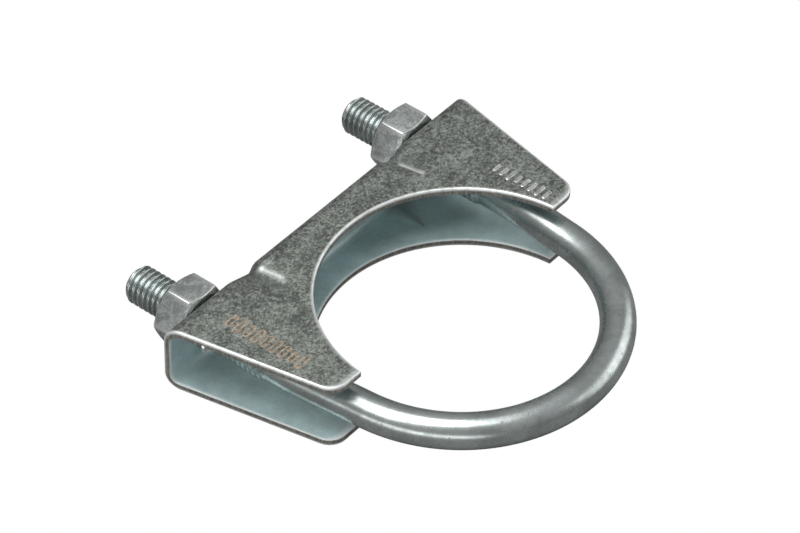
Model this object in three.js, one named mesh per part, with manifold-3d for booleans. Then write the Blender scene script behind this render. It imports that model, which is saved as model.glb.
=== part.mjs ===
// A pipe clamp: a U-bolt, its pressed sheet saddle and two hex nuts. Millimetres.
//
// Every piece is drawn in the clamp's own axes: the origin is at the centre of the bow, +X runs across the
// two legs, +Y runs along the legs towards the nuts, and +Z runs along the axis of the pipe. The last
// function moves the clamp so that it lies on the lower flange of its saddle.
import * as THREE from 'three';
import { ConvexGeometry } from 'three/addons/geometries/ConvexGeometry.js';
import { mergeVertices } from 'three/addons/utils/BufferGeometryUtils.js';
import Module from 'manifold-3d';

const wasm = await Module();
wasm.setup();

// The U-bolt
const pipeDiameter = 52;
const pipeClearance = 2.6; // inside the bow, so that it drops over the pipe
const rodDiameter = 7.1; // plain stretch, left as it was before the thread was rolled
const legOffset = 1.65; // each leg stands this far outside the end of the bow
const bowSplay = THREE.MathUtils.degToRad(5); // the bow stops short of a half circle by this at each end

// The thread, M8
const threadDiameter = 7.9;
const threadPitch = 1.25;
const threadDepth = 0.77;
const threadInside = 17.9; // from the outer face of the web to the first turn
const studSpare = 10.5; // past each nut
const tipChamfer = 1.1;

// The saddle
const sheetThickness = 1.5;
const saddleHeight = 15.2; // over both flanges
const webMargin = 11.8; // from the axis of each stud to the end of the web
const stripWidth = 8.7; // of each flange, behind the middle of the cut-out
const hornWidth = 7.4; // across the end of each horn
const hornReach = -0.4; // from the centre of the bow to the end of the horns
const bendRadius = 2; // inside of the sheet
const hornRadius = 4; // outer corner of each horn
const cutoutEase = 3.5; // from the radius of the pipe to the radius of the cut-out
const cutoutOffset = -2.8; // centre of the cut-out, from the centre of the bow
const studClearance = 0.6; // around each stud in its hole

// The darts pressed into the bends
const dartInset = 11.6; // from the axis of each stud to the valley of its darts
const dartInnerWidth = 3.4;
const dartOuterWidth = 6.5;
const dartDepth = 1.7; // at the sharp corner of the sheet
const dartFlangeLength = 11;
const dartWebLength = 5;

// The nuts, M8
const nutAcrossFlats = 13;
const nutHeight = 6.8;
const nutFaceRatio = 0.95; // of the ring left on each end by the chamfer, to the width across flats
const nutChamferAngle = THREE.MathUtils.degToRad(30);
const leftNutTurn = THREE.MathUtils.degToRad(-5);
const rightNutTurn = THREE.MathUtils.degToRad(2);

// Fits
const threadClearance = 0.2; // radial, between each nut and its stud
const seatClearance = 0.3; // between each nut and the web
const tapOverrun = 2; // turns of thread cut past each end of a nut

// Facets
const rodSides = 16;
const rodSteps = 52;
const turnSides = 20;
const roundSides = 40;
const bendSides = 6;
const cutMargin = 5; // how far a cutting shape runs past what it cuts
const weldDistance = 1e-5;

// Worked out from the sizes above. A reach is a place along Y.
const rodRadius = rodDiameter / 2;
const threadRadius = threadDiameter / 2;
const bowRadius = (pipeDiameter + pipeClearance) / 2 + rodRadius;
const legX = bowRadius + legOffset;
const flangeHeight = saddleHeight / 2;
const cutoutRadius = pipeDiameter / 2 + cutoutEase;
const webReach = cutoutOffset + cutoutRadius + stripWidth;
const threadStart = webReach - threadInside;
const nutSeat = webReach + seatClearance;
const nutCornerRadius = nutAcrossFlats / 2 / Math.cos(Math.PI / 6);
const tipReach = nutSeat + nutHeight + studSpare;
const studTurns = Math.ceil((tipReach - threadStart) / threadPitch);

const zincSheet = { color: 0xa3aaa9, roughness: 0.42, metalness: 0.85 };
const zincRod = { color: 0xb4bcbf, roughness: 0.24, metalness: 0.95 };
const zincNut = { color: 0xa9b1b0, roughness: 0.34, metalness: 0.9 };

function toSolid(geometry) {
  geometry.deleteAttribute('normal');
  geometry.deleteAttribute('uv');
  const welded = mergeVertices(geometry, weldDistance);
  return new wasm.Manifold(new wasm.Mesh({
    numProp: 3,
    vertProperties: Float32Array.from(welded.attributes.position.array),
    triVerts: Uint32Array.from(welded.index.array),
  }));
}

function toMesh(name, solid, finish) {
  const { vertProperties, triVerts } = solid.getMesh();
  const geometry = new THREE.BufferGeometry();
  geometry.setAttribute('position', new THREE.BufferAttribute(vertProperties, 3));
  geometry.setIndex(new THREE.BufferAttribute(triVerts, 1));
  geometry.computeVertexNormals();
  const mesh = new THREE.Mesh(geometry, new THREE.MeshStandardMaterial(finish));
  mesh.name = name;
  return mesh;
}

// A flat outline in X and Y, given its thickness along Z.
function plate(shape, low, high, curveSegments) {
  const options = { depth: high - low, bevelEnabled: false, curveSegments };
  const geometry = new THREE.ExtrudeGeometry(shape, options);
  return geometry.translate(0, 0, low);
}

// An outline drawn in Y and Z, given its width along X.
function beam(shape, width, curveSegments) {
  const turned = new THREE.Matrix4().makeBasis(
    new THREE.Vector3(0, 1, 0),
    new THREE.Vector3(0, 0, 1),
    new THREE.Vector3(1, 0, 0),
  );
  return plate(shape, -width / 2, width / 2, curveSegments).applyMatrix4(turned);
}

// A turned solid about an axis along +Y, from a list of [radius, place along the axis].
function turning(profile, x) {
  const points = profile.map(([radius, along]) => new THREE.Vector2(radius, along));
  return toSolid(new THREE.LatheGeometry(points, roundSides).translate(x, 0, 0));
}

// A solid V thread about an axis along +Y. Turns are counted from the start of the stud's thread, so that
// a stud and the hole cut for it always share one helix.
function threadBody(firstTurn, turns, growth, x) {
  const last = turns * turnSides;
  const rootRadius = threadRadius - threadDepth + growth;
  const crestRadius = threadRadius + growth;
  const positions = [];
  const addPoint = (radius, turn, rise) => {
    const angle = turn * 2 * Math.PI;
    const along = threadStart + (turn + rise) * threadPitch;
    positions.push(x + radius * Math.sin(angle), along, radius * Math.cos(angle));
  };
  for (let step = 0; step <= last + turnSides; step += 1) {
    addPoint(rootRadius, firstTurn + step / turnSides, 0);
  }
  const crest = positions.length / 3;
  for (let step = 0; step <= last; step += 1) {
    addPoint(crestRadius, firstTurn + step / turnSides, 0.5);
  }
  const startCentre = positions.length / 3;
  addPoint(0, firstTurn, 0.5);
  const endCentre = startCentre + 1;
  addPoint(0, firstTurn + turns, 0.5);

  const triangles = [];
  for (let step = 0; step < last; step += 1) {
    const ridge = crest + step;
    const next = step + turnSides;
    triangles.push(step, step + 1, ridge + 1, step, ridge + 1, ridge);
    triangles.push(ridge, ridge + 1, next + 1, ridge, next + 1, next);
  }
  for (let step = 0; step < turnSides; step += 1) {
    triangles.push(startCentre, step + 1, step);
    triangles.push(endCentre, last + step, last + step + 1);
  }
  triangles.push(startCentre, 0, crest, startCentre, crest, turnSides);
  triangles.push(endCentre, crest + last, last, endCentre, last + turnSides, crest + last);

  const geometry = new THREE.BufferGeometry();
  geometry.setAttribute('position', new THREE.Float32BufferAttribute(positions, 3));
  geometry.setIndex(triangles);
  return toSolid(geometry);
}

// The centre line of the plain rod: leg, easing bend, bow, easing bend, leg. The handles of each easing
// bend are a third of its length.
function rodPath() {
  const legTop = threadStart + threadPitch;
  const bowEndX = bowRadius * Math.cos(bowSplay);
  const bowEndY = -bowRadius * Math.sin(bowSplay);
  const ease = (threadStart - bowEndY) / 3;
  const easeX = ease * Math.sin(bowSplay);
  const easeY = ease * Math.cos(bowSplay);
  const point = (x, y) => new THREE.Vector3(x, y, 0);
  const easing = (side) => [
    point(side * legX, threadStart),
    point(side * legX, threadStart - ease),
    point(side * (bowEndX + easeX), bowEndY + easeY),
    point(side * bowEndX, bowEndY),
  ];
  const bow = new THREE.EllipseCurve(0, 0, bowRadius, bowRadius, Math.PI + bowSplay, -bowSplay, false);
  const bowPoints = bow.getPoints(rodSteps).map(({ x, y }) => point(x, y));
  const path = new THREE.CurvePath();
  path.add(new THREE.LineCurve3(point(-legX, legTop), point(-legX, threadStart)));
  path.add(new THREE.CubicBezierCurve3(...easing(-1)));
  path.add(new THREE.CatmullRomCurve3(bowPoints));
  path.add(new THREE.CubicBezierCurve3(...easing(1).reverse()));
  path.add(new THREE.LineCurve3(point(legX, threadStart), point(legX, legTop)));
  return path;
}

function plainRod() {
  const section = new THREE.Shape().absarc(0, 0, rodRadius, 0, 2 * Math.PI, false);
  const sweep = { steps: rodSteps, extrudePath: rodPath(), curveSegments: rodSides / 2 };
  return toSolid(new THREE.ExtrudeGeometry(section, sweep));
}

function stud(side) {
  const x = side * legX;
  const tipRadius = threadRadius - tipChamfer;
  const shoulder = tipReach - (threadDiameter - tipRadius);
  const blank = turning([
    [0, threadStart],
    [threadDiameter, threadStart],
    [threadDiameter, shoulder],
    [tipRadius, tipReach],
    [0, tipReach],
  ], x);
  return threadBody(0, studTurns, 0, x).intersect(blank);
}

function uBolt() {
  return toMesh('u_bolt', plainRod().add(stud(-1)).add(stud(1)), zincRod);
}

// One skin of the channel in Y and Z, set in from the outer face of the sheet. It is open at the bow end.
function channelSkin(inset) {
  const radius = bendRadius + sheetThickness - inset;
  const back = webReach - inset;
  const top = flangeHeight - inset;
  const front = hornReach - cutMargin - inset;
  const shape = new THREE.Shape();
  shape.moveTo(front, -top);
  shape.lineTo(back - radius, -top);
  shape.absarc(back - radius, radius - top, radius, -Math.PI / 2, 0, false);
  shape.lineTo(back, top - radius);
  shape.absarc(back - radius, top - radius, radius, 0, Math.PI / 2, false);
  shape.lineTo(front, top);
  shape.closePath();
  return toSolid(beam(shape, 2 * (legX + webMargin + cutMargin), bendSides));
}

// A dart in the upper or lower bend, at the left or right. The inset moves it in through the sheet.
function dart(side, level, inset) {
  const x = side * (legX - dartInset);
  const back = webReach - inset;
  const top = level * (flangeHeight - inset);
  const corners = [
    [x, back - dartFlangeLength, top],
    [x, back, top - level * dartWebLength],
    [x, back - dartDepth, top - level * dartDepth],
    [x - side * dartInnerWidth, back, top],
    [x + side * dartOuterWidth, back, top],
  ];
  return toSolid(new ConvexGeometry(corners.map((corner) => new THREE.Vector3(...corner))));
}

function dartedSkin(inset) {
  let skin = channelSkin(inset);
  for (const side of [-1, 1]) {
    for (const level of [-1, 1]) {
      skin = skin.subtract(dart(side, level, inset));
    }
  }
  return skin;
}

// The outline of the saddle from above, with its horns and the round cut-out for the pipe.
function saddleOutline() {
  const halfBack = legX + webMargin;
  const rise = Math.asin((hornReach - cutoutOffset) / cutoutRadius);
  const halfFront = cutoutRadius * Math.cos(rise) + hornWidth;
  const lean = Math.atan((halfBack - halfFront) / (webReach - hornReach));
  const cornerX = halfFront - hornRadius * Math.tan((Math.PI / 2 - lean) / 2);
  const cornerY = hornReach + hornRadius;
  const shape = new THREE.Shape();
  shape.moveTo(halfBack, webReach);
  shape.lineTo(-halfBack, webReach);
  shape.absarc(-cornerX, cornerY, hornRadius, Math.PI + lean, 1.5 * Math.PI, false);
  shape.absarc(0, cutoutOffset, cutoutRadius, Math.PI - rise, rise, true);
  shape.absarc(cornerX, cornerY, hornRadius, 1.5 * Math.PI, 2 * Math.PI - lean, false);
  shape.closePath();
  return shape;
}

function studHole(side) {
  const radius = threadRadius + studClearance;
  const from = webReach - sheetThickness - cutMargin;
  const to = webReach + cutMargin;
  return turning([[0, from], [radius, from], [radius, to], [0, to]], side * legX);
}

function saddle() {
  const above = flangeHeight + cutMargin;
  const sheet = dartedSkin(0).subtract(dartedSkin(sheetThickness));
  const outline = toSolid(plate(saddleOutline(), -above, above, roundSides));
  const cut = sheet.intersect(outline).subtract(studHole(-1)).subtract(studHole(1));
  return toMesh('saddle', cut, zincSheet);
}

function nutBlank(x, turn) {
  const shape = new THREE.Shape();
  for (let corner = 0; corner < 6; corner += 1) {
    const angle = turn + corner * Math.PI / 3;
    const move = corner === 0 ? 'moveTo' : 'lineTo';
    shape[move](nutCornerRadius * Math.cos(angle), nutCornerRadius * Math.sin(angle));
  }
  shape.closePath();
  const prism = plate(shape, 0, nutHeight, 1).rotateX(Math.PI / 2).translate(x, nutSeat + nutHeight, 0);
  const faceRadius = nutFaceRatio * nutAcrossFlats / 2;
  const chamfer = (nutAcrossFlats - faceRadius) * Math.tan(nutChamferAngle);
  const envelope = turning([
    [0, nutSeat],
    [faceRadius, nutSeat],
    [nutAcrossFlats, nutSeat + chamfer],
    [nutAcrossFlats, nutSeat + nutHeight - chamfer],
    [faceRadius, nutSeat + nutHeight],
    [0, nutSeat + nutHeight],
  ], x);
  return toSolid(prism).intersect(envelope);
}

function nut(name, side, turn) {
  const x = side * legX;
  const firstTurn = Math.floor((nutSeat - threadStart) / threadPitch) - tapOverrun;
  const tapTurns = Math.ceil(nutHeight / threadPitch) + 2 * tapOverrun;
  const tap = threadBody(firstTurn, tapTurns, threadClearance, x);
  return toMesh(name, nutBlank(x, turn).subtract(tap), zincNut);
}

function clamp() {
  const pieces = new THREE.Group();
  pieces.add(uBolt(), saddle(), nut('nut_left', -1, leftNutTurn), nut('nut_right', 1, rightNutTurn));
  pieces.position.set(0, (bowRadius + rodRadius - tipReach) / 2, flangeHeight);
  return pieces;
}

export default new THREE.Group().add(clamp());
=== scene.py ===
import math

import bpy
import numpy as np
from mathutils import Matrix, Vector


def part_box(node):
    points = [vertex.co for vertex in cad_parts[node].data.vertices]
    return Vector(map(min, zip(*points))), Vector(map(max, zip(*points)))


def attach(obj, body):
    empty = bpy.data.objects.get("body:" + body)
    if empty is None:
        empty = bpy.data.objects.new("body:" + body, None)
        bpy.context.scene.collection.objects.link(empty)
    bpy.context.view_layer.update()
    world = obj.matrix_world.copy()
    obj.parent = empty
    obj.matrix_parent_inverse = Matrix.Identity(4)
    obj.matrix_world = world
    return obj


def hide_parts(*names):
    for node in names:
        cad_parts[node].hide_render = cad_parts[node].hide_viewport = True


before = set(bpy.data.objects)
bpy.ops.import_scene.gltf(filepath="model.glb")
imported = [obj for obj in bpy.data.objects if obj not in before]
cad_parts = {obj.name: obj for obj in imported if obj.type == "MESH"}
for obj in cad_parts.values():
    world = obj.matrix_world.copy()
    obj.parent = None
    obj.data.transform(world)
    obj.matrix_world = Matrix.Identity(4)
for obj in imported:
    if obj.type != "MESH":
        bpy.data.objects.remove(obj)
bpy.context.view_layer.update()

mm = 0.001
print("frame loaded:", ", ".join(sorted(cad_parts)))

# Places that the frame gives. The clamp lies on z = 0, its bow towards -Y and its nuts towards +Y.
boltLow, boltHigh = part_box("u_bolt")
saddleLow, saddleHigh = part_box("saddle")
nutLow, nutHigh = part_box("nut_right")
midZ = (saddleLow.z + saddleHigh.z) / 2
legX = (nutLow.x + nutHigh.x) / 2
webY = saddleHigh.y
tipY = boltHigh.y


def put(tree, kind, settings=None, inputs=None):
    # one node, with its settings, and its inputs filled with values or linked to sockets
    made = tree.nodes.new(kind)
    for name, value in (settings or {}).items():
        setattr(made, name, value)
    for name, value in (inputs or {}).items():
        if isinstance(value, bpy.types.NodeSocket):
            tree.links.new(value, made.inputs[name])
        else:
            made.inputs[name].default_value = value
    return made


def calc(tree, operation, *values):
    made = put(tree, "ShaderNodeMath", {"operation": operation}, dict(enumerate(values)))
    return made.outputs[0]


def newTree(name, sizes):
    # a geometry tree with one named input for each size, and a material at the end
    tree = bpy.data.node_groups.new(name, "GeometryNodeTree")
    tree.interface.new_socket("Geometry", in_out="INPUT", socket_type="NodeSocketGeometry")
    tree.interface.new_socket("Geometry", in_out="OUTPUT", socket_type="NodeSocketGeometry")
    for size, value in sizes.items():
        kind = "NodeSocketInt" if isinstance(value, int) else "NodeSocketFloat"
        tree.interface.new_socket(size, in_out="INPUT", socket_type=kind)
    tree.interface.new_socket("Material", in_out="INPUT", socket_type="NodeSocketMaterial")
    return tree, put(tree, "NodeGroupInput").outputs


def endTree(tree, geometry, material):
    real = put(tree, "GeometryNodeRealizeInstances", inputs={"Geometry": geometry})
    painted = put(tree, "GeometryNodeSetMaterial",
                  inputs={"Geometry": real.outputs[0], "Material": material})
    put(tree, "NodeGroupOutput", inputs={"Geometry": painted.outputs[0]})


def growPiece(name, guide, tree, sizes, material):
    # runs the tree on a guide mesh and keeps the result as a plain mesh
    holder = bpy.data.objects.new(name + "_guide", guide)
    bpy.context.scene.collection.objects.link(holder)
    modifier = holder.modifiers.new("grow", "NODES")
    modifier.node_group = tree
    for item in tree.interface.items_tree:
        if item.in_out == "INPUT" and item.name in sizes:
            modifier[item.identifier] = sizes[item.name]
        if item.in_out == "INPUT" and item.name == "Material":
            modifier[item.identifier] = material
    depsgraph = bpy.context.evaluated_depsgraph_get()
    mesh = bpy.data.meshes.new_from_object(holder.evaluated_get(depsgraph), depsgraph=depsgraph)
    bpy.data.objects.remove(holder)
    return addPiece(name, mesh, material)


def addPiece(name, mesh, material):
    mesh.name = name
    piece = bpy.data.objects.new(name, mesh)
    bpy.context.scene.collection.objects.link(piece)
    mesh.materials.clear()
    mesh.materials.append(material)
    return piece


def smooth(mesh, sharpAngle):
    mesh.polygons.foreach_set("use_smooth", [True] * len(mesh.polygons))
    mesh.set_sharp_from_angle(angle=math.radians(sharpAngle))
    mesh.update()


def meshOf(name, points, faces):
    mesh = bpy.data.meshes.new(name)
    mesh.from_pydata([tuple(p) for p in points], [], [tuple(f) for f in faces])
    mesh.validate()
    return mesh


def keepValues(mesh, name, values):
    mesh.attributes.new(name, "FLOAT", "POINT").data.foreach_set("value", np.asarray(values, np.float32))


def quads(rows, columns, closedRows=False, closedColumns=False, start=0):
    # faces of a grid whose points run row by row
    faces = []
    for r in range(rows if closedRows else rows - 1):
        for c in range(columns if closedColumns else columns - 1):
            a, b = r * columns, (r + 1) % rows * columns
            d = (c + 1) % columns
            faces.append((start + a + c, start + a + d, start + b + d, start + b + c))
    return faces


def ease(low, high, value):
    t = np.clip((value - low) / (high - low), 0, 1)
    return t * t * (3 - 2 * t)


def textured(name):
    # a new material, with its shader and the object coordinates
    material = bpy.data.materials.new(name)
    material.use_nodes = True
    tree = material.node_tree
    place = put(tree, "ShaderNodeTexCoord").outputs["Object"]
    return material, tree, tree.nodes["Principled BSDF"], place


def noise(tree, place, scale, detail=3.0, roughness=0.55, distortion=0.0):
    return put(tree, "ShaderNodeTexNoise", inputs={
        "Vector": place, "Scale": scale, "Detail": detail,
        "Roughness": roughness, "Distortion": distortion}).outputs["Fac"]


def ramp(tree, value, stops):
    # stops are (place, grey or colour)
    made = put(tree, "ShaderNodeValToRGB", inputs={"Fac": value})
    elements = made.color_ramp.elements
    while len(elements) < len(stops):
        elements.new(0.5)
    for element, (place, colour) in zip(elements, stops):
        element.position = place
        element.color = (*colour, 1) if isinstance(colour, tuple) else (colour, colour, colour, 1)
    return made.outputs["Color"]


def mixColour(tree, share, first, second, blend="MIX"):
    made = put(tree, "ShaderNodeMix", {"data_type": "RGBA", "blend_type": blend, "clamp_factor": True})
    for socket, value in ((made.inputs[0], share), (made.inputs[6], first), (made.inputs[7], second)):
        if isinstance(value, bpy.types.NodeSocket):
            tree.links.new(value, socket)
        elif isinstance(value, tuple):
            socket.default_value = (*value, 1)
        else:
            socket.default_value = value if socket == made.inputs[0] else (value, value, value, 1)
    return made.outputs[2]


def attribute(tree, name):
    return put(tree, "ShaderNodeAttribute", {"attribute_name": name}).outputs["Fac"]


def bump(tree, shader, height, strength, distance):
    made = put(tree, "ShaderNodeBump",
               inputs={"Height": height, "Strength": strength, "Distance": distance})
    tree.links.new(made.outputs[0], shader.inputs["Normal"])


sheetFinish = {
    "dark": (0.115, 0.125, 0.115),
    "middle": (0.255, 0.275, 0.250),
    "light": (0.60, 0.64, 0.60),
    # inner faces: the bluer tone is the sheet's own, the lightening is painted light standing in for the
    # light that reaches into the channel
    "inside": (0.72, 0.91, 0.93),
    "insideShade": 0.74,          # of the clouds inside the channel
    "edge": (0.92, 0.95, 0.94),
    # edges and dart creases: rub from the press, with a painted highlight on top
    "cut": (0.24, 0.23, 0.21),
    "pressed": (0.17, 0.185, 0.175),
    "metallic": 0.92,
    "patchScale": 190,            # spots to a metre, from the widest to the finest
    "blotchScale": 900,
    "flakeScale": 2400,
    "speckScale": 3600,
    "grainDepth": 0.025 * mm,
}


def zincSheet():
    # blotched on the rolled faces; smoother, bluer and lightened inside the channel, the lightening being
    # painted light; bright where the press rubs it, with a painted highlight on those edges and along the
    # dart creases
    look = sheetFinish
    material, tree, shader, place = textured("zinc_sheet")
    blotch = noise(tree, place, look["blotchScale"], 5, 0.68, 0.8)
    patch = noise(tree, place, look["patchScale"], 3)
    flake = put(tree, "ShaderNodeTexVoronoi", {"feature": "F1"},
                {"Vector": place, "Scale": look["flakeScale"], "Randomness": 1.0}).outputs["Color"]
    flake = put(tree, "ShaderNodeSeparateColor", inputs={"Color": flake}).outputs[0]
    speck = noise(tree, place, look["speckScale"], 2, 0.7)
    mottle = calc(tree, "MULTIPLY", blotch, 0.40)
    for layer, share in ((patch, 0.20), (flake, 0.12), (speck, 0.28)):
        mottle = calc(tree, "MULTIPLY_ADD", layer, share, mottle)
    skin = ramp(tree, mottle, [(0.41, look["dark"]), (0.49, look["middle"]), (0.60, look["light"])])

    # colour of the inner faces, lightened as painted light, in faint clouds
    cloud = ramp(tree, noise(tree, place, 150, 4), [(0.35, 0.0), (0.65, 1.0)])
    shaded = tuple(look["insideShade"] * c for c in look["inside"])
    insideLightenedZinc = mixColour(tree, cloud, look["inside"], shaded)

    streak = put(tree, "ShaderNodeMapping", inputs={"Vector": place, "Scale": (1.0, 1.0, 0.12)}).outputs[0]
    tornBright = tuple(2.2 * c for c in look["cut"])
    tear = ramp(tree, noise(tree, streak, 2600, 3), [(0.35, look["cut"]), (0.7, tornBright)])

    # where each of them shows, from the values kept on the mesh
    inside = attribute(tree, "inside")
    cut = attribute(tree, "cut")
    pressed = attribute(tree, "pressed")
    rubAndHighlightPatches = ramp(tree, noise(tree, place, 700, 3), [(0.25, 0.6), (0.5, 1.0)])
    rubAndHighlight = calc(tree, "MULTIPLY", attribute(tree, "rimRubAndHighlight"), rubAndHighlightPatches)
    # painted light: the inner faces take the lightened colour
    colour = mixColour(tree, calc(tree, "MULTIPLY", inside, 0.85), skin, insideLightenedZinc)
    colour = mixColour(tree, calc(tree, "MULTIPLY", pressed, 0.6), colour, look["pressed"])
    colour = mixColour(tree, cut, colour, tear)
    # painted highlight on the edges and dart creases, together with the press rub
    colour = mixColour(tree, rubAndHighlight, colour, look["edge"])
    tree.links.new(colour, shader.inputs["Base Color"])

    rough = ramp(tree, mottle, [(0.38, 0.50), (0.52, 0.40), (0.64, 0.30)])
    for share, value in ((inside, 0.42), (pressed, 0.58), (rubAndHighlight, 0.40), (cut, 0.6)):
        rough = mixColour(tree, share, rough, value)
    tree.links.new(rough, shader.inputs["Roughness"])
    metal = calc(tree, "MULTIPLY_ADD", inside, -0.50, look["metallic"])
    metal = calc(tree, "MULTIPLY_ADD", rubAndHighlight, -0.30, metal)
    tree.links.new(metal, shader.inputs["Metallic"])
    grain = calc(tree, "MULTIPLY", mottle, calc(tree, "MULTIPLY_ADD", inside, -0.7, 1.0))
    bump(tree, shader, grain, 0.5, look["grainDepth"])
    return material


rodFinish = {
    "dull": (0.41, 0.45, 0.44),
    "middle": (0.50, 0.55, 0.54),
    "bright": (0.60, 0.65, 0.64),
    "spot": (0.30, 0.33, 0.32),
    "metallic": 0.97,
    "cloudScale": 130,
    "fineScale": 900,
    "spotScale": 620,
    "grainDepth": 0.04 * mm,
}


def zincRod():
    # glossy plate over drawn wire, with faint clouds and a few dull spots
    look = rodFinish
    material, tree, shader, place = textured("zinc_rod")
    cloud = noise(tree, place, look["cloudScale"], 3)
    fine = noise(tree, place, look["fineScale"], 4, 0.6)
    blend = calc(tree, "MULTIPLY_ADD", cloud, 0.7, calc(tree, "MULTIPLY", fine, 0.3))
    colour = ramp(tree, blend, [(0.40, look["dull"]), (0.5, look["middle"]), (0.60, look["bright"])])
    spots = ramp(tree, noise(tree, place, look["spotScale"], 3, 0.7), [(0.30, 1.0), (0.36, 0.0)])
    tree.links.new(mixColour(tree, spots, colour, look["spot"]), shader.inputs["Base Color"])
    rough = ramp(tree, blend, [(0.35, 0.31), (0.65, 0.24)])
    tree.links.new(mixColour(tree, spots, rough, 0.42), shader.inputs["Roughness"])
    shader.inputs["Metallic"].default_value = look["metallic"]
    bump(tree, shader, blend, 0.06, look["grainDepth"])
    return material


nutFinish = {
    "dull": (0.20, 0.225, 0.21),
    "middle": (0.42, 0.46, 0.44),
    "bright": (0.74, 0.79, 0.77),
    # rounded edges and corners: rub, with a painted highlight on top
    "edge": (0.88, 0.91, 0.90),
    "metallic": 0.94,
    "cloudScale": 520,
    "fineScale": 2600,
    "grainDepth": 0.03 * mm,
}


def zincNut():
    # rolled bar with a patchy plate, bright along its edges from rub and a painted highlight
    look = nutFinish
    material, tree, shader, place = textured("zinc_nut")
    cloud = noise(tree, place, look["cloudScale"], 4, 0.65, 0.8)
    fine = noise(tree, place, look["fineScale"], 2, 0.6)
    blend = calc(tree, "MULTIPLY_ADD", cloud, 0.65, calc(tree, "MULTIPLY", fine, 0.35))
    colour = ramp(tree, blend, [(0.42, look["dull"]), (0.51, look["middle"]), (0.59, look["bright"])])
    # painted highlight on the roundings and corners, with rub
    tree.links.new(mixColour(tree, attribute(tree, "rimRubAndHighlight"), colour, look["edge"]), shader.inputs["Base Color"])
    tree.links.new(ramp(tree, blend, [(0.35, 0.42), (0.65, 0.28)]), shader.inputs["Roughness"])
    shader.inputs["Metallic"].default_value = look["metallic"]
    bump(tree, shader, blend, 0.4, look["grainDepth"])
    return material


markFinish = {
    "inkDark": (0.20, 0.15, 0.10),
    "inkLight": (0.52, 0.38, 0.26),
    "stampDark": (0.45, 0.47, 0.46),
    "stampLight": (0.85, 0.87, 0.86),
}


def inkTan():
    material, tree, shader, place = textured("ink_tan")
    patch = noise(tree, place, 1500, 3)
    colour = ramp(tree, patch, [(0.35, markFinish["inkDark"]), (0.65, markFinish["inkLight"])])
    tree.links.new(colour, shader.inputs["Base Color"])
    tree.links.new(ramp(tree, patch, [(0.3, 0.5), (0.7, 0.7)]), shader.inputs["Roughness"])
    return material


def stampBright():
    material, tree, shader, place = textured("stamp_bright")
    patch = noise(tree, place, 1200, 3)
    colour = ramp(tree, patch, [(0.35, markFinish["stampDark"]), (0.6, markFinish["stampLight"])])
    tree.links.new(colour, shader.inputs["Base Color"])
    tree.links.new(ramp(tree, patch, [(0.3, 0.38), (0.7, 0.24)]), shader.inputs["Roughness"])
    shader.inputs["Metallic"].default_value = 0.9
    return material


sheetMaterial = zincSheet()
rodMaterial = zincRod()
nutMaterial = zincNut()
inkMaterial = inkTan()
stampMaterial = stampBright()
print("finishes made")


# The U-bolt is a guide line down its middle, swept and threaded by Geometry Nodes.

rod = {
    "radius": 3.55 * mm,
    "bowRadius": 30.85 * mm,    # of the centre line
    "bowSplay": 5,              # degrees, left out of the half circle at each end
    "sides": 48,
    "bowSteps": 76,
    "easeSteps": 10,
    "rowsPerTurn": 16,          # along the thread
}
thread = {
    "pitch": 1.25 * mm,
    "crestRadius": 3.95 * mm,
    "depth": 0.77 * mm,
    "startInside": 17.9 * mm,   # from the outer face of the web
    "runOut": 1.2,              # turns over which the groove fades in
    "rounding": 0.1,            # share of the flank rounded off at root and crest
    "tipChamfer": 1.1 * mm,
}
threadY = webY - thread["startInside"]
bowY = boltLow.y + rod["bowRadius"] + rod["radius"]


def bezier(a, b, c, d, steps):
    t = np.linspace(0, 1, steps, endpoint=False)[1:, None]
    return (1 - t) ** 3 * a + 3 * (1 - t) ** 2 * t * b + 3 * (1 - t) * t * t * c + t ** 3 * d


def rodGuide():
    # half of the centre line, from the middle of the bow up the right leg, then its mirror image
    splay = math.radians(rod["bowSplay"])
    angles = np.linspace(0, math.pi / 2 - splay, rod["bowSteps"] // 2)
    bow = rod["bowRadius"] * np.stack([np.sin(angles), -np.cos(angles)], 1)
    bow[:, 1] += bowY
    start = bow[-1]
    end = np.array([legX, threadY])
    reach = (end[1] - start[1]) / 3
    out = reach * np.array([math.sin(splay), math.cos(splay)])
    easing = bezier(start, start + out, end - (0, reach), end, rod["easeSteps"])
    step = thread["pitch"] / rod["rowsPerTurn"]
    alongLeg = np.arange(threadY - 0.2 * thread["pitch"], tipY - step / 2, step)
    leg = np.stack([np.full(len(alongLeg), legX), alongLeg], 1)
    closing = [(legX, tipY), (legX, tipY + 0.02 * mm), (legX, tipY + 0.03 * mm)]
    half = np.concatenate([bow, easing, leg, closing])
    share = np.ones(len(half))
    share[-2:] = 0.8, 0.35
    points = np.concatenate([half[:0:-1] * (-1, 1), half])
    shares = np.concatenate([share[:0:-1], share])
    mesh = bpy.data.meshes.new("rod_guide")
    edges = [(i, i + 1) for i in range(len(points) - 1)]
    mesh.from_pydata([(x, y, midZ) for x, y in points], edges, [])
    keepValues(mesh, "share", shares)
    return mesh


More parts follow.
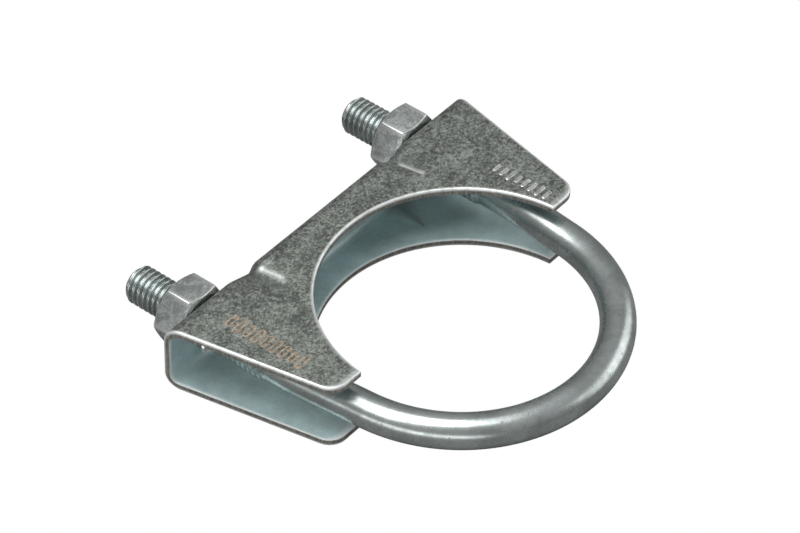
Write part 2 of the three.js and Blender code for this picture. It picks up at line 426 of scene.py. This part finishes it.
def rodTree(sizes):
    tree, given = newTree("threaded rod", sizes)
    line = put(tree, "GeometryNodeMeshToCurve", inputs={"Mesh": given["Geometry"]}).outputs[0]
    circle = put(tree, "GeometryNodeCurvePrimitiveCircle",
                 inputs={"Resolution": given["Sides"], "Radius": given["Rod Radius"]}).outputs[0]
    swept = put(tree, "GeometryNodeCurveToMesh",
                inputs={"Curve": line, "Profile Curve": circle, "Fill Caps": True}).outputs[0]

    here = put(tree, "GeometryNodeInputPosition").outputs[0]
    x, y, z = put(tree, "ShaderNodeSeparateXYZ", inputs={0: here}).outputs
    centre = calc(tree, "MULTIPLY", calc(tree, "SIGN", x), given["Leg Place"])
    dx = calc(tree, "SUBTRACT", x, centre)
    dz = calc(tree, "SUBTRACT", z, given["Middle Height"])
    turn = calc(tree, "DIVIDE", calc(tree, "ARCTAN2", dx, dz), 2 * math.pi)
    turns = calc(tree, "DIVIDE", calc(tree, "SUBTRACT", y, given["Thread Start"]), given["Pitch"])
    phase = calc(tree, "FRACT", calc(tree, "SUBTRACT", turns, turn))
    wave = calc(tree, "SUBTRACT", 1.0, calc(tree, "ABSOLUTE", calc(tree, "MULTIPLY_ADD", phase, 2.0, -1.0)))
    ridge = put(tree, "ShaderNodeMapRange", {"interpolation_type": "SMOOTHSTEP"},
                {"Value": wave, "From Min": given["Rounding"],
                 "From Max": calc(tree, "SUBTRACT", 1.0, given["Rounding"])}).outputs[0]
    root = calc(tree, "SUBTRACT", given["Crest Radius"], given["Thread Depth"])
    cutRadius = calc(tree, "MULTIPLY_ADD", ridge, given["Thread Depth"], root)
    fade = put(tree, "ShaderNodeMapRange", {"interpolation_type": "SMOOTHSTEP"},
               {"Value": turns, "From Min": 0.0, "From Max": given["Run Out"]}).outputs[0]
    change = calc(tree, "SUBTRACT", cutRadius, given["Rod Radius"])
    radius = calc(tree, "MULTIPLY_ADD", fade, change, given["Rod Radius"])
    tipRadius = calc(tree, "SUBTRACT", given["Crest Radius"], given["Tip Chamfer"])
    limit = calc(tree, "ADD", tipRadius, calc(tree, "SUBTRACT", given["Tip Reach"], y))
    share = put(tree, "GeometryNodeInputNamedAttribute",
                {"data_type": "FLOAT"}, {"Name": "share"}).outputs[0]
    radius = calc(tree, "MULTIPLY", calc(tree, "MINIMUM", radius, limit), share)
    length = calc(tree, "SQRT", calc(tree, "MULTIPLY_ADD", dx, dx, calc(tree, "MULTIPLY", dz, dz)))
    scale = calc(tree, "DIVIDE", radius, length)
    threaded = put(tree, "ShaderNodeCombineXYZ", inputs={
        0: calc(tree, "MULTIPLY_ADD", dx, scale, centre), 1: y,
        2: calc(tree, "MULTIPLY_ADD", dz, scale, given["Middle Height"])}).outputs[0]
    moved = put(tree, "GeometryNodeSetPosition", inputs={
        "Geometry": swept, "Selection": calc(tree, "GREATER_THAN", turns, 0.0), "Position": threaded})
    endTree(tree, moved.outputs[0], given["Material"])
    return tree


rodSizes = {
    "Sides": rod["sides"], "Rod Radius": rod["radius"], "Leg Place": legX, "Middle Height": midZ,
    "Thread Start": threadY, "Pitch": thread["pitch"], "Crest Radius": thread["crestRadius"],
    "Thread Depth": thread["depth"], "Rounding": thread["rounding"], "Run Out": thread["runOut"],
    "Tip Reach": tipY, "Tip Chamfer": thread["tipChamfer"],
}
uBolt = growPiece("u_bolt_rod", rodGuide(), rodTree(rodSizes), rodSizes, rodMaterial)
smooth(uBolt.data, 50)
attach(uBolt, "u_bolt")
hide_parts("u_bolt")
print("U-bolt swept and threaded:", len(uBolt.data.polygons), "faces")


# The saddle is one sheet, laid out as a grid over the bent channel.

saddle = {
    "thickness": 1.5 * mm,
    "bendRadius": 2 * mm,         # inside of the sheet
    "hornReach": -0.4 * mm,       # end of the horns, from the centre of the bow
    "hornWidth": 7.4 * mm,
    "hornRadius": 4 * mm,
    "cutoutRadius": 29.5 * mm,
    "cutoutOffset": -2.8 * mm,
    "holeRadius": 4.55 * mm,
    "rollOver": 0.45 * mm,        # round edge left by the press on the outer faces
    "innerEdge": 0.12 * mm,
    "dartPlace": 20.9 * mm,       # valley of each dart, from the middle
    "creaseLeft": -19.6 * mm,     # painted highlight along each dart valley, over the burnish left by the edge of the punch
    "creaseRight": 20.9 * mm,
    "dartInner": 3.2 * mm,        # widths of its two flanks at the deepest row
    "dartOuter": 6.5 * mm,
    "dartStops": (-4.25, -2.75, 0, 2.75, 10.25),   # mm along the sheet, from the middle of the bend
    "dartDepths": (0, 0.75, 1.0, 1.30, 0),         # mm, at those places
    "edgeRubAndHighlight": (0.9, 1, 1, 0.7, 0, 0, 0.1, 0.6),  # row by row, from the outer face to the inner one
    "edgeTear": (0, 0, 0, 0.5, 1, 1, 0.8, 0.2),
    "outerRubAndHighlight": 0.55,
    "innerRubAndHighlight": 0.9,
    "middleColumns": 56,          # in each half, straight along Y
    "dartColumn": 47,             # the one that runs down the valley
    "arcColumns": 26,
    "endColumns": 7,
    "cornerColumns": 12,
    "flangeRows": 26,
    "bendRows": 10,
    "webRows": 12,
}
outerBend = saddle["bendRadius"] + saddle["thickness"]
bendY = webY - outerBend
topZ = saddleHigh.z


def arc(centre, radius, first, last, steps):
    angles = np.radians(np.linspace(first, last, steps + 1))
    return np.stack([centre[0] + radius * np.cos(angles), centre[1] + radius * np.sin(angles)], 1)


def halfOutline(pull):
    # right half of the cut edge from the middle of the cut-out to the side, all of it moved in by pull
    s = saddle
    radius = s["cutoutRadius"]
    rise = math.asin((s["hornReach"] - s["cutoutOffset"]) / radius)
    halfBack = saddleHigh.x
    halfFront = radius * math.cos(rise) + s["hornWidth"]
    lean = math.atan((halfBack - halfFront) / (webY - bowY - s["hornReach"]))
    centre = (0, bowY + s["cutoutOffset"])
    step = s["dartPlace"] / s["dartColumn"]
    across = np.arange(s["middleColumns"] + 1) * step
    end = bowY + s["hornReach"] + pull
    radius += pull
    middle = np.stack([across, centre[1] + np.sqrt(radius ** 2 - across ** 2)], 1)
    first = math.degrees(math.acos(across[-1] / radius))
    tip = math.degrees(math.asin((end - centre[1]) / radius))
    cutout = arc(centre, radius, first, tip, s["arcColumns"])[1:]
    cornerX = halfFront - s["hornRadius"] * math.tan((math.pi / 2 - lean) / 2)
    cornerY = bowY + s["hornReach"] + s["hornRadius"]
    corner = arc((cornerX, cornerY), s["hornRadius"] - pull, -90, -math.degrees(lean), s["cornerColumns"])
    straight = np.linspace(cutout[-1], corner[0], s["endColumns"] + 1)[1:-1]
    sideX = lambda y: halfBack - (webY - y) * math.tan(lean) - pull / math.cos(lean)
    return np.concatenate([middle, cutout, straight, corner]), sideX


def halfSheet(pull):
    # points and face directions of the outer skin's right half, from the upper cut edge to the lower one
    s = saddle
    outline, sideX = halfOutline(pull)
    columns = len(outline)
    middle = s["middleColumns"]
    spread = np.zeros(columns)
    spread[middle:] = np.linspace(0, 1, columns - middle)
    innerX = outline[:middle + 1, 0]

    def row(y):
        x = np.empty(columns)
        x[:middle + 1] = innerX
        x[middle:] = innerX[-1] + spread[middle:] * (sideX(y) - innerX[-1])
        return x

    atBend = np.stack([row(bendY), np.full(columns, bendY)], 1)
    points, normals = [], []
    for t in np.linspace(1, 0, s["flangeRows"] + 1)[:-1]:
        flat = atBend + t * (outline - atBend)
        points.append(np.column_stack([flat, np.full(columns, topZ)]))
        normals.append((0, 0, 1))
    for turn in np.radians(np.linspace(0, 90, s["bendRows"] + 1)):
        y = bendY + outerBend * math.sin(turn)
        z = topZ - outerBend * (1 - math.cos(turn))
        points.append(np.column_stack([row(y), np.full(columns, y), np.full(columns, z)]))
        normals.append((0, math.sin(turn), math.cos(turn)))
    for z in np.linspace(topZ - outerBend, midZ, s["webRows"] // 2 + 1)[1:]:
        points.append(np.column_stack([row(webY), np.full(columns, webY), np.full(columns, z)]))
        normals.append((0, 1, 0))
    lower = [p * (1, 1, -1) + (0, 0, 2 * midZ) for p in points[-2::-1]]
    lowerNormals = [(0, n[1], -n[2]) for n in normals[-2::-1]]
    return np.array(points + lower), np.array(normals + lowerNormals, float)


def wholeSheet(pull):
    half, normals = halfSheet(pull)
    mirrored = half[:, :0:-1] * (-1, 1, 1)
    return np.concatenate([mirrored, half], 1), normals


def dartDepth(points):
    # how far each point of the skin is pushed in, and how strongly the press has smoothed it
    s = saddle
    fromTop = midZ + np.abs(points[..., 2] - midZ)
    quarter = outerBend * math.pi / 4
    turn = np.arctan2(points[..., 1] - bendY, fromTop - (topZ - outerBend))
    along = np.where(points[..., 1] <= bendY, bendY - points[..., 1] + quarter,
                     np.where(fromTop >= topZ - outerBend, quarter - turn * outerBend,
                              fromTop - (topZ - outerBend) - quarter))
    depth = np.interp(along, np.array(s["dartStops"]) * mm, np.array(s["dartDepths"]) * mm, left=0, right=0)
    deepest = max(s["dartDepths"]) * mm
    aside = np.abs(points[..., 0]) - s["dartPlace"]
    width = np.where(aside < 0, s["dartInner"], s["dartOuter"]) * np.maximum(depth / deepest, 0.02)
    soft, rimSoft = 0.10, 0.06    # rounding of the valley and of its upper edges
    flank = 1 - (np.sqrt((aside / width) ** 2 + soft ** 2) - soft)
    tent = 0.5 * (flank + np.sqrt(flank ** 2 + rimSoft ** 2)) - 0.5 * rimSoft ** 2
    tent = np.where(np.abs(aside) > 1.6 * width, 0, tent)
    # the crease mask carries a painted highlight along each dart valley
    line = np.where(points[..., 0] < 0, -s["creaseLeft"], s["creaseRight"]) - np.abs(points[..., 0])
    crease = np.exp(-(line / (0.42 * mm)) ** 2) 
    start = along - np.where(points[..., 0] < 0, 1.2 * mm, 2.8 * mm)
    crease *= ease(0, mm, start) * (1 - ease(6.5 * mm, 7.5 * mm, start))
    return depth * np.clip(tent, 0, 1), np.clip(tent, 0, 1) * (depth > 0), crease


def saddleMesh():
    s = saddle
    full, normals = wholeSheet(0)
    pulled, normals = wholeSheet(s["rollOver"])
    rows, columns = full.shape[:2]
    n = normals[:, None, :]
    depth, pressed, crease = dartDepth(pulled)
    outer = pulled - n * depth[..., None]
    inner = outer - n * s["thickness"]

    # the cut edge runs once round the grid
    loop = [(0, c) for c in range(columns)] + [(r, columns - 1) for r in range(1, rows)]
    loop += [(rows - 1, c) for c in range(columns - 2, -1, -1)] + [(r, 0) for r in range(rows - 2, 0, -1)]
    at = tuple(np.array(loop).T)
    face = np.broadcast_to(n, full.shape)[at]
    out = full[at] - pulled[at]
    small = s["innerEdge"] / s["rollOver"]
    steps = [(math.sin(a), s["rollOver"] * (1 - math.cos(a))) for a in np.radians((22, 45, 68, 90))]
    steps += [(0.985, s["thickness"] * share) for share in (0.5, 0.75)]
    steps += [(1.0, s["thickness"] - s["innerEdge"])]
    steps += [(1 - 0.3 * small, s["thickness"] - 0.3 * s["innerEdge"])]
    edge = [pulled[at] + out * share - face * down for share, down in steps]
    inner[at] = pulled[at] + out * (1 - small) - face * s["thickness"]

    points = np.concatenate([outer.reshape(-1, 3), inner.reshape(-1, 3), *edge])
    count = rows * columns
    faces = quads(rows, columns)
    faces += [f[::-1] for f in quads(rows, columns, start=count)]
    size = len(loop)
    outerLoop = [r * columns + c for r, c in loop]
    innerLoop = [count + k for k in outerLoop]
    starts = [2 * count + k * size for k in range(len(edge))]
    rings = [outerLoop, *[range(start, start + size) for start in starts], innerLoop]
    for first, second in zip(rings, rings[1:]):
        for k in range(size):
            m = (k + 1) % size
            faces.append((first[k], second[k], second[m], first[m]))
    mesh = meshOf("saddle_sheet", points, faces)

    # how bright (rub with a painted highlight on the edges and creases), torn, smooth (inner faces, lightened
    # as painted light) or pressed the sheet is at each point
    rimRubAndHighlight = np.concatenate([np.zeros(2 * count), *[np.full(size, v) for v in s["edgeRubAndHighlight"]]])
    rimRubAndHighlight[outerLoop] = s["outerRubAndHighlight"]
    rimRubAndHighlight[innerLoop] = s["innerRubAndHighlight"]
    # the dart creases take the painted highlight of the edges
    rimRubAndHighlight[:count] = np.maximum(rimRubAndHighlight[:count], crease.ravel())
    cut = np.concatenate([np.zeros(2 * count), *[np.full(size, v) for v in s["edgeTear"]]])
    inside = np.concatenate([np.zeros(count), np.ones(count), np.zeros(len(edge) * size)])
    push = np.concatenate([pressed.ravel(), pressed.ravel(), np.zeros(len(edge) * size)])
    for name, values in (("rimRubAndHighlight", rimRubAndHighlight), ("cut", cut), ("inside", inside), ("pressed", push)):
        keepValues(mesh, name, values)
    return mesh


def studHoles():
    # two short cylinders along Y, to be cut out of the web
    sides = 72
    points, faces = [], []
    for side in (-1, 1):
        start = len(points)
        for y in (webY - 5 * mm, webY + 5 * mm):
            for a in np.linspace(0, 2 * math.pi, sides, endpoint=False):
                x = side * legX + saddle["holeRadius"] * math.cos(a)
                points.append((x, y, midZ + saddle["holeRadius"] * math.sin(a)))
        faces += quads(2, sides, closedColumns=True, start=start)
        faces += [tuple(range(start, start + sides))[::-1], tuple(range(start + sides, start + 2 * sides))]
    mesh = meshOf("stud_holes", points, [f[::-1] for f in faces])
    for name, value in (("rimRubAndHighlight", 0), ("cut", 1), ("inside", 0), ("pressed", 0)):
        keepValues(mesh, name, np.full(len(points), value))
    return mesh


def cutAway(mesh, cutter):
    holder = bpy.data.objects.new("sheet_to_cut", mesh)
    tool = bpy.data.objects.new("cutter", cutter)
    for item in (holder, tool):
        bpy.context.scene.collection.objects.link(item)
    modifier = holder.modifiers.new("holes", "BOOLEAN")
    modifier.operation = "DIFFERENCE"
    modifier.solver = "EXACT"
    modifier.object = tool
    depsgraph = bpy.context.evaluated_depsgraph_get()
    result = bpy.data.meshes.new_from_object(holder.evaluated_get(depsgraph), depsgraph=depsgraph)
    for item in (holder, tool):
        bpy.data.objects.remove(item)
    return result


sheet = addPiece("saddle_sheet", cutAway(saddleMesh(), studHoles()), sheetMaterial)
smooth(sheet.data, 40)
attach(sheet, "saddle")
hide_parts("saddle")
print("saddle folded:", len(sheet.data.polygons), "faces")


nut = {
    "acrossFlats": 13 * mm,
    "cornerRadius": 0.35 * mm,
    "faceRatio": 0.95,            # ring left on each end, to the width across flats
    "chamferAngle": 30,
    "countersink": 4.3 * mm,
    "clearance": 0.1 * mm,        # in the thread
    "roundings": ((0.10 * mm, 0.7), (0.16 * mm, 1.0), (0.16 * mm, 1.0), (0.10 * mm, 0.7)),  # size, and its painted highlight with rub
    "cornerSteps": 6,
    "flatSteps": 8,
    "rowsPerTurn": 12,
}


def hexOutline(turn):
    radius = nut["cornerRadius"]
    reach = (nut["acrossFlats"] / 2 - radius) / math.cos(math.pi / 6)
    points = []
    for k in range(6):
        corner = math.radians(turn + 60 * k)
        centre = reach * np.array([math.cos(corner), math.sin(corner)])
        points.append(arc(centre, radius, turn + 60 * k - 30, turn + 60 * k + 30, nut["cornerSteps"]))
    outline = []
    for k in range(6):
        outline.append(points[k])
        outline.append(np.linspace(points[k][-1], points[(k + 1) % 6][0], nut["flatSteps"] + 1)[1:-1])
    return np.concatenate(outline)


def threadRadius(y, angle):
    turns = (y - threadY) / thread["pitch"] - angle / (2 * math.pi)
    wave = 1 - np.abs(2 * (turns % 1) - 1)
    ridge = ease(thread["rounding"], 1 - thread["rounding"], wave)
    return thread["crestRadius"] - thread["depth"] * (1 - ridge) + nut["clearance"]


def roundCorner(before, corner, after, size):
    # three points that round a corner of the section, each a radius and a height for every column
    def toward(a, b):
        d = (b[0] - a[0], b[1] - a[1])
        length = np.hypot(*d)
        return a[0] + d[0] / length * size, a[1] + d[1] / length * size
    first, last = toward(corner, before), toward(corner, after)
    middle = tuple(0.25 * f + 0.5 * c + 0.25 * l for f, c, l in zip(first, corner, last))
    return [first, middle, last]


def nutMesh(name, side, turn):
    low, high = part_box(name)
    height = high.y - low.y
    outline = hexOutline(turn)
    reach = np.hypot(outline[:, 0], outline[:, 1])
    direction = outline / reach[:, None]
    columns = len(outline)
    same = lambda value: np.full(columns, value)
    face = nut["faceRatio"] * nut["acrossFlats"] / 2
    slope = math.tan(math.radians(nut["chamferAngle"]))
    drop = (reach - face) * slope
    keys = [(same(nut["countersink"]), same(0)), (same(face), same(0)), (reach, drop),
            (reach, height - drop), (same(face), same(height)), (same(nut["countersink"]), same(height))]
    rows, rims = [keys[0]], [0.6]
    for k, (size, rubAndHighlight) in enumerate(nut["roundings"], 1):
        rows += roundCorner(keys[k - 1], keys[k], keys[k + 1], size)
        rims += [0.25 * rubAndHighlight, rubAndHighlight, 0.25 * rubAndHighlight]
    rows.append(keys[-1])
    rims.append(0.6)
    angle = np.arctan2(direction[:, 0], direction[:, 1])
    boreRows = round(height / thread["pitch"] * nut["rowsPerTurn"])
    for y in np.linspace(height, 0, boreRows + 1)[1:-1]:
        funnel = nut["countersink"] - min(y, height - y) * math.tan(math.radians(60))
        rows.append((np.maximum(threadRadius(low.y + y, angle), funnel), same(y)))
        rims.append(0)
    points = []
    for radius, y in rows:
        spread = direction * radius[:, None]
        points.append(np.column_stack([side * legX + spread[:, 0], low.y + y, midZ + spread[:, 1]]))
    faces = [f[::-1] for f in quads(len(rows), columns, closedRows=True, closedColumns=True)]
    mesh = meshOf(name, np.concatenate(points), faces)
    # the hex corners along the chamfer roundings take the painted highlight too
    corner = np.abs((np.degrees(np.arctan2(outline[:, 1], outline[:, 0])) - turn + 30) % 60 - 30)
    onCorner = 1 - ease(0.8, 2.6, corner)
    rimRubAndHighlight = np.concatenate([np.maximum(rubAndHighlight, onCorner if 4 <= k <= 9 else 0) * np.ones(columns)
                          for k, rubAndHighlight in enumerate(rims)])
    keepValues(mesh, "rimRubAndHighlight", rimRubAndHighlight)
    return mesh


for name, side, turn in (("nut_left", -1, -5), ("nut_right", 1, 2)):
    hexNut = addPiece(name + "_hex", nutMesh(name, side, turn), nutMaterial)
    smooth(hexNut.data, 50)
    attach(hexNut, name)
    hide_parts(name)
print("nuts made")


# Two rows of plain strokes on the upper flange, printed on the left and stamped on the right.
marks = {
    "printed": {"place": (-34.7, 26.6), "step": -2.15, "count": 9, "width": 1.05, "height": 4.2,
                "stroke": 0.19, "raise": 0.03, "seed": 5, "material": inkMaterial},
    "stamped": {"place": (31.6, 15.2), "step": -1.75, "count": 8, "width": 0.42, "height": 3.3,
                "stroke": 0.24, "raise": 0.09, "seed": 2, "material": stampMaterial},
}


def markTree(sizes):
    tree, given = newTree("mark row", sizes)
    shape = put(tree, "GeometryNodeCurvePrimitiveQuadrilateral",
                inputs={"Width": given["Mark Height"], "Height": given["Mark Width"]}).outputs[0]
    bend = calc(tree, "MULTIPLY", given["Mark Width"], 0.42)
    rounded = put(tree, "GeometryNodeFilletCurve", {"mode": "POLY"},
                  {"Curve": shape, "Radius": bend, "Count": 5}).outputs[0]
    nib = put(tree, "GeometryNodeCurvePrimitiveCircle",
              inputs={"Resolution": 8, "Radius": given["Stroke"]}).outputs[0]
    outline = put(tree, "GeometryNodeCurveToMesh",
                  inputs={"Curve": rounded, "Profile Curve": nib}).outputs[0]
    flat = put(tree, "ShaderNodeCombineXYZ", inputs={
        0: 1.0, 1: 1.0, 2: calc(tree, "DIVIDE", given["Raise"], given["Stroke"])}).outputs[0]
    outline = put(tree, "GeometryNodeTransform", inputs={"Geometry": outline, "Scale": flat}).outputs[0]
    points = put(tree, "GeometryNodeMeshToPoints", inputs={"Mesh": given["Geometry"]}).outputs[0]
    chance = put(tree, "FunctionNodeRandomValue", {"data_type": "FLOAT"}).outputs[1]
    chance.node.inputs[2].default_value = 0.45
    chance.node.inputs[3].default_value = 1.0
    tree.links.new(given["Seed"], chance.node.inputs["Seed"])
    size = put(tree, "ShaderNodeCombineXYZ", inputs={0: chance, 1: 1.0, 2: 1.0}).outputs[0]
    row = put(tree, "GeometryNodeInstanceOnPoints",
              inputs={"Points": points, "Instance": outline, "Scale": size})
    endTree(tree, row.outputs[0], given["Material"])
    return tree


for name, facts in marks.items():
    across, first = facts["place"]
    spots = [(across * mm, bowY + (first + k * facts["step"]) * mm, topZ) for k in range(facts["count"])]
    sizes = {"Mark Width": facts["width"] * mm, "Mark Height": facts["height"] * mm,
             "Stroke": facts["stroke"] * mm, "Raise": facts["raise"] * mm, "Seed": facts["seed"]}
    row = growPiece(name + "_marks", meshOf(name, spots, []), markTree(sizes), sizes, facts["material"])
    smooth(row.data, 60)
    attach(row, "saddle")
print("marks laid")

# A crumb of metal that the shears left under the left edge of the upper flange.
burr = {
    "place": (-42.62, 26.80, -1.50),   # mm, from the bow's centre and the top face
    "length": 1.5 * mm,
    "width": 0.75 * mm,
    "roughness": 0.45 * mm,
}


def burrTree(sizes):
    tree, given = newTree("burr", sizes)
    ball = put(tree, "GeometryNodeMeshIcoSphere", inputs={"Radius": 0.5, "Subdivisions": 4}).outputs[0]
    size = put(tree, "ShaderNodeCombineXYZ", inputs={
        0: given["Width"], 1: given["Length"], 2: given["Width"]}).outputs[0]
    points = put(tree, "GeometryNodeMeshToPoints", inputs={"Mesh": given["Geometry"]}).outputs[0]
    crumb = put(tree, "GeometryNodeInstanceOnPoints", inputs={
        "Points": points, "Instance": ball, "Scale": size, "Rotation": (0.5, 0.3, -0.5)}).outputs[0]
    crumb = put(tree, "GeometryNodeRealizeInstances", inputs={"Geometry": crumb}).outputs[0]
    here = put(tree, "GeometryNodeInputPosition").outputs[0]
    lumps = put(tree, "ShaderNodeTexNoise",
                inputs={"Vector": here, "Scale": 1700.0, "Detail": 2.0}).outputs["Color"]
    centred = put(tree, "ShaderNodeVectorMath",
                  {"operation": "SUBTRACT"}, {0: lumps, 1: (0.5, 0.5, 0.5)}).outputs[0]
    offset = put(tree, "ShaderNodeVectorMath", {"operation": "SCALE"},
                 {0: centred, "Scale": given["Roughness"]}).outputs[0]
    torn = put(tree, "GeometryNodeSetPosition", inputs={"Geometry": crumb, "Offset": offset}).outputs[0]
    endTree(tree, torn, given["Material"])
    return tree


burrSpot = (burr["place"][0] * mm, bowY + burr["place"][1] * mm, topZ + burr["place"][2] * mm)
burrSizes = {"Length": burr["length"], "Width": burr["width"], "Roughness": burr["roughness"]}
burrGuide = meshOf("burr", [burrSpot], [])
crumb = growPiece("edge_burr", burrGuide, burrTree(burrSizes), burrSizes, stampMaterial)
smooth(crumb.data, 40)
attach(crumb, "saddle")
print("burr left on the edge")


light = {
    "worldLow": 0.20,            # at the horizon
    "worldHigh": 0.46,           # overhead
    "floor": 1.0,
    "floorReach": 6,             # metres each way
    "floorSeen": 0.25,           # of the floor, as the metal reflects it
    "top": {"place": (-0.15, 0.10, 0.60), "size": (0.46, 0.64), "power": 3.0},
    "left": {"place": (-0.85, -0.30, 0.13), "size": (1.4, 0.22), "power": 1.7},
    "right": {"place": (0.75, -0.50, 0.34), "size": (1.0, 0.6), "power": 2.4},
}


def makeFloor():
    reach = light["floorReach"]
    corners = [(x * reach, y * reach, 0) for x, y in ((-1, -1), (1, -1), (1, 1), (-1, 1))]
    mesh = meshOf("floor", corners, [(0, 1, 2, 3)])
    floor = bpy.data.objects.new("floor", mesh)
    bpy.context.scene.collection.objects.link(floor)
    floor.location.z = -0.05 * mm
    material = bpy.data.materials.new("floor_pale")
    material.use_nodes = True
    tree = material.node_tree
    tree.nodes.clear()
    seen = put(tree, "ShaderNodeLightPath").outputs["Is Camera Ray"]
    white = put(tree, "ShaderNodeEmission", inputs={"Color": (1, 1, 1, 1), "Strength": light["floor"]})
    grey = (light["floorSeen"],) * 3 + (1,)
    soft = put(tree, "ShaderNodeBsdfDiffuse", inputs={"Color": grey})
    mixed = put(tree, "ShaderNodeMixShader", inputs={0: seen, 1: soft.outputs[0], 2: white.outputs[0]})
    put(tree, "ShaderNodeOutputMaterial", inputs={0: mixed.outputs[0]})
    mesh.materials.append(material)


def addLight(name, facts):
    lamp = bpy.data.lights.new(name, "AREA")
    lamp.shape = "RECTANGLE"
    lamp.size, lamp.size_y = facts["size"]
    lamp.energy = facts["power"]
    holder = bpy.data.objects.new(name, lamp)
    holder.location = facts["place"]
    aim = Vector((0, 0, midZ)) - Vector(facts["place"])
    holder.rotation_euler = aim.to_track_quat("-Z", "Y").to_euler()
    bpy.context.scene.collection.objects.link(holder)


def makeWorld():
    # pale grey overhead, darker towards the horizon
    world = bpy.data.worlds.new("studio")
    world.use_nodes = True
    tree = world.node_tree
    direction = put(tree, "ShaderNodeTexCoord").outputs["Generated"]
    height = put(tree, "ShaderNodeSeparateXYZ", inputs={0: direction}).outputs[2]
    low, high = light["worldLow"], light["worldHigh"]
    sky = ramp(tree, height, [(0.0, low), (0.35, 0.7 * low + 0.3 * high), (1.0, high)])
    tree.links.new(sky, tree.nodes["Background"].inputs["Color"])
    bpy.context.scene.world = world


camera = {
    "azimuth": -52.174,
    "elevation": 43.195,
    "roll": 1.654,
    "distance": 734.42 * mm,
    "aside": -10.806 * mm,
    "above": 9.339 * mm,
    "lens": 173.1,
}


def makeCamera():
    a, e, roll = (math.radians(camera[k]) for k in ("azimuth", "elevation", "roll"))
    back = Vector((math.sin(a) * math.cos(e), -math.cos(a) * math.cos(e), math.sin(e)))
    right = Vector((math.cos(a), math.sin(a), 0))
    up = back.cross(right)
    right, up = (math.cos(roll) * right + math.sin(roll) * up, math.cos(roll) * up - math.sin(roll) * right)
    data = bpy.data.cameras.new("camera")
    data.lens = camera["lens"]
    data.sensor_width = 36
    data.clip_start, data.clip_end = 0.01, 50
    holder = bpy.data.objects.new("camera", data)
    turn = Matrix((right, up, back)).transposed().to_4x4()
    place = Vector((0, bowY, midZ)) + camera["distance"] * back
    place += camera["aside"] * right + camera["above"] * up
    holder.matrix_world = Matrix.Translation(place) @ turn
    bpy.context.scene.collection.objects.link(holder)
    bpy.context.scene.camera = holder


makeFloor()
makeWorld()
bpy.context.scene.view_settings.view_transform = "Standard"
for name in ("top", "left", "right"):
    addLight(name, light[name])
makeCamera()
print("floor, light and camera set")

bpy.context.view_layer.update()
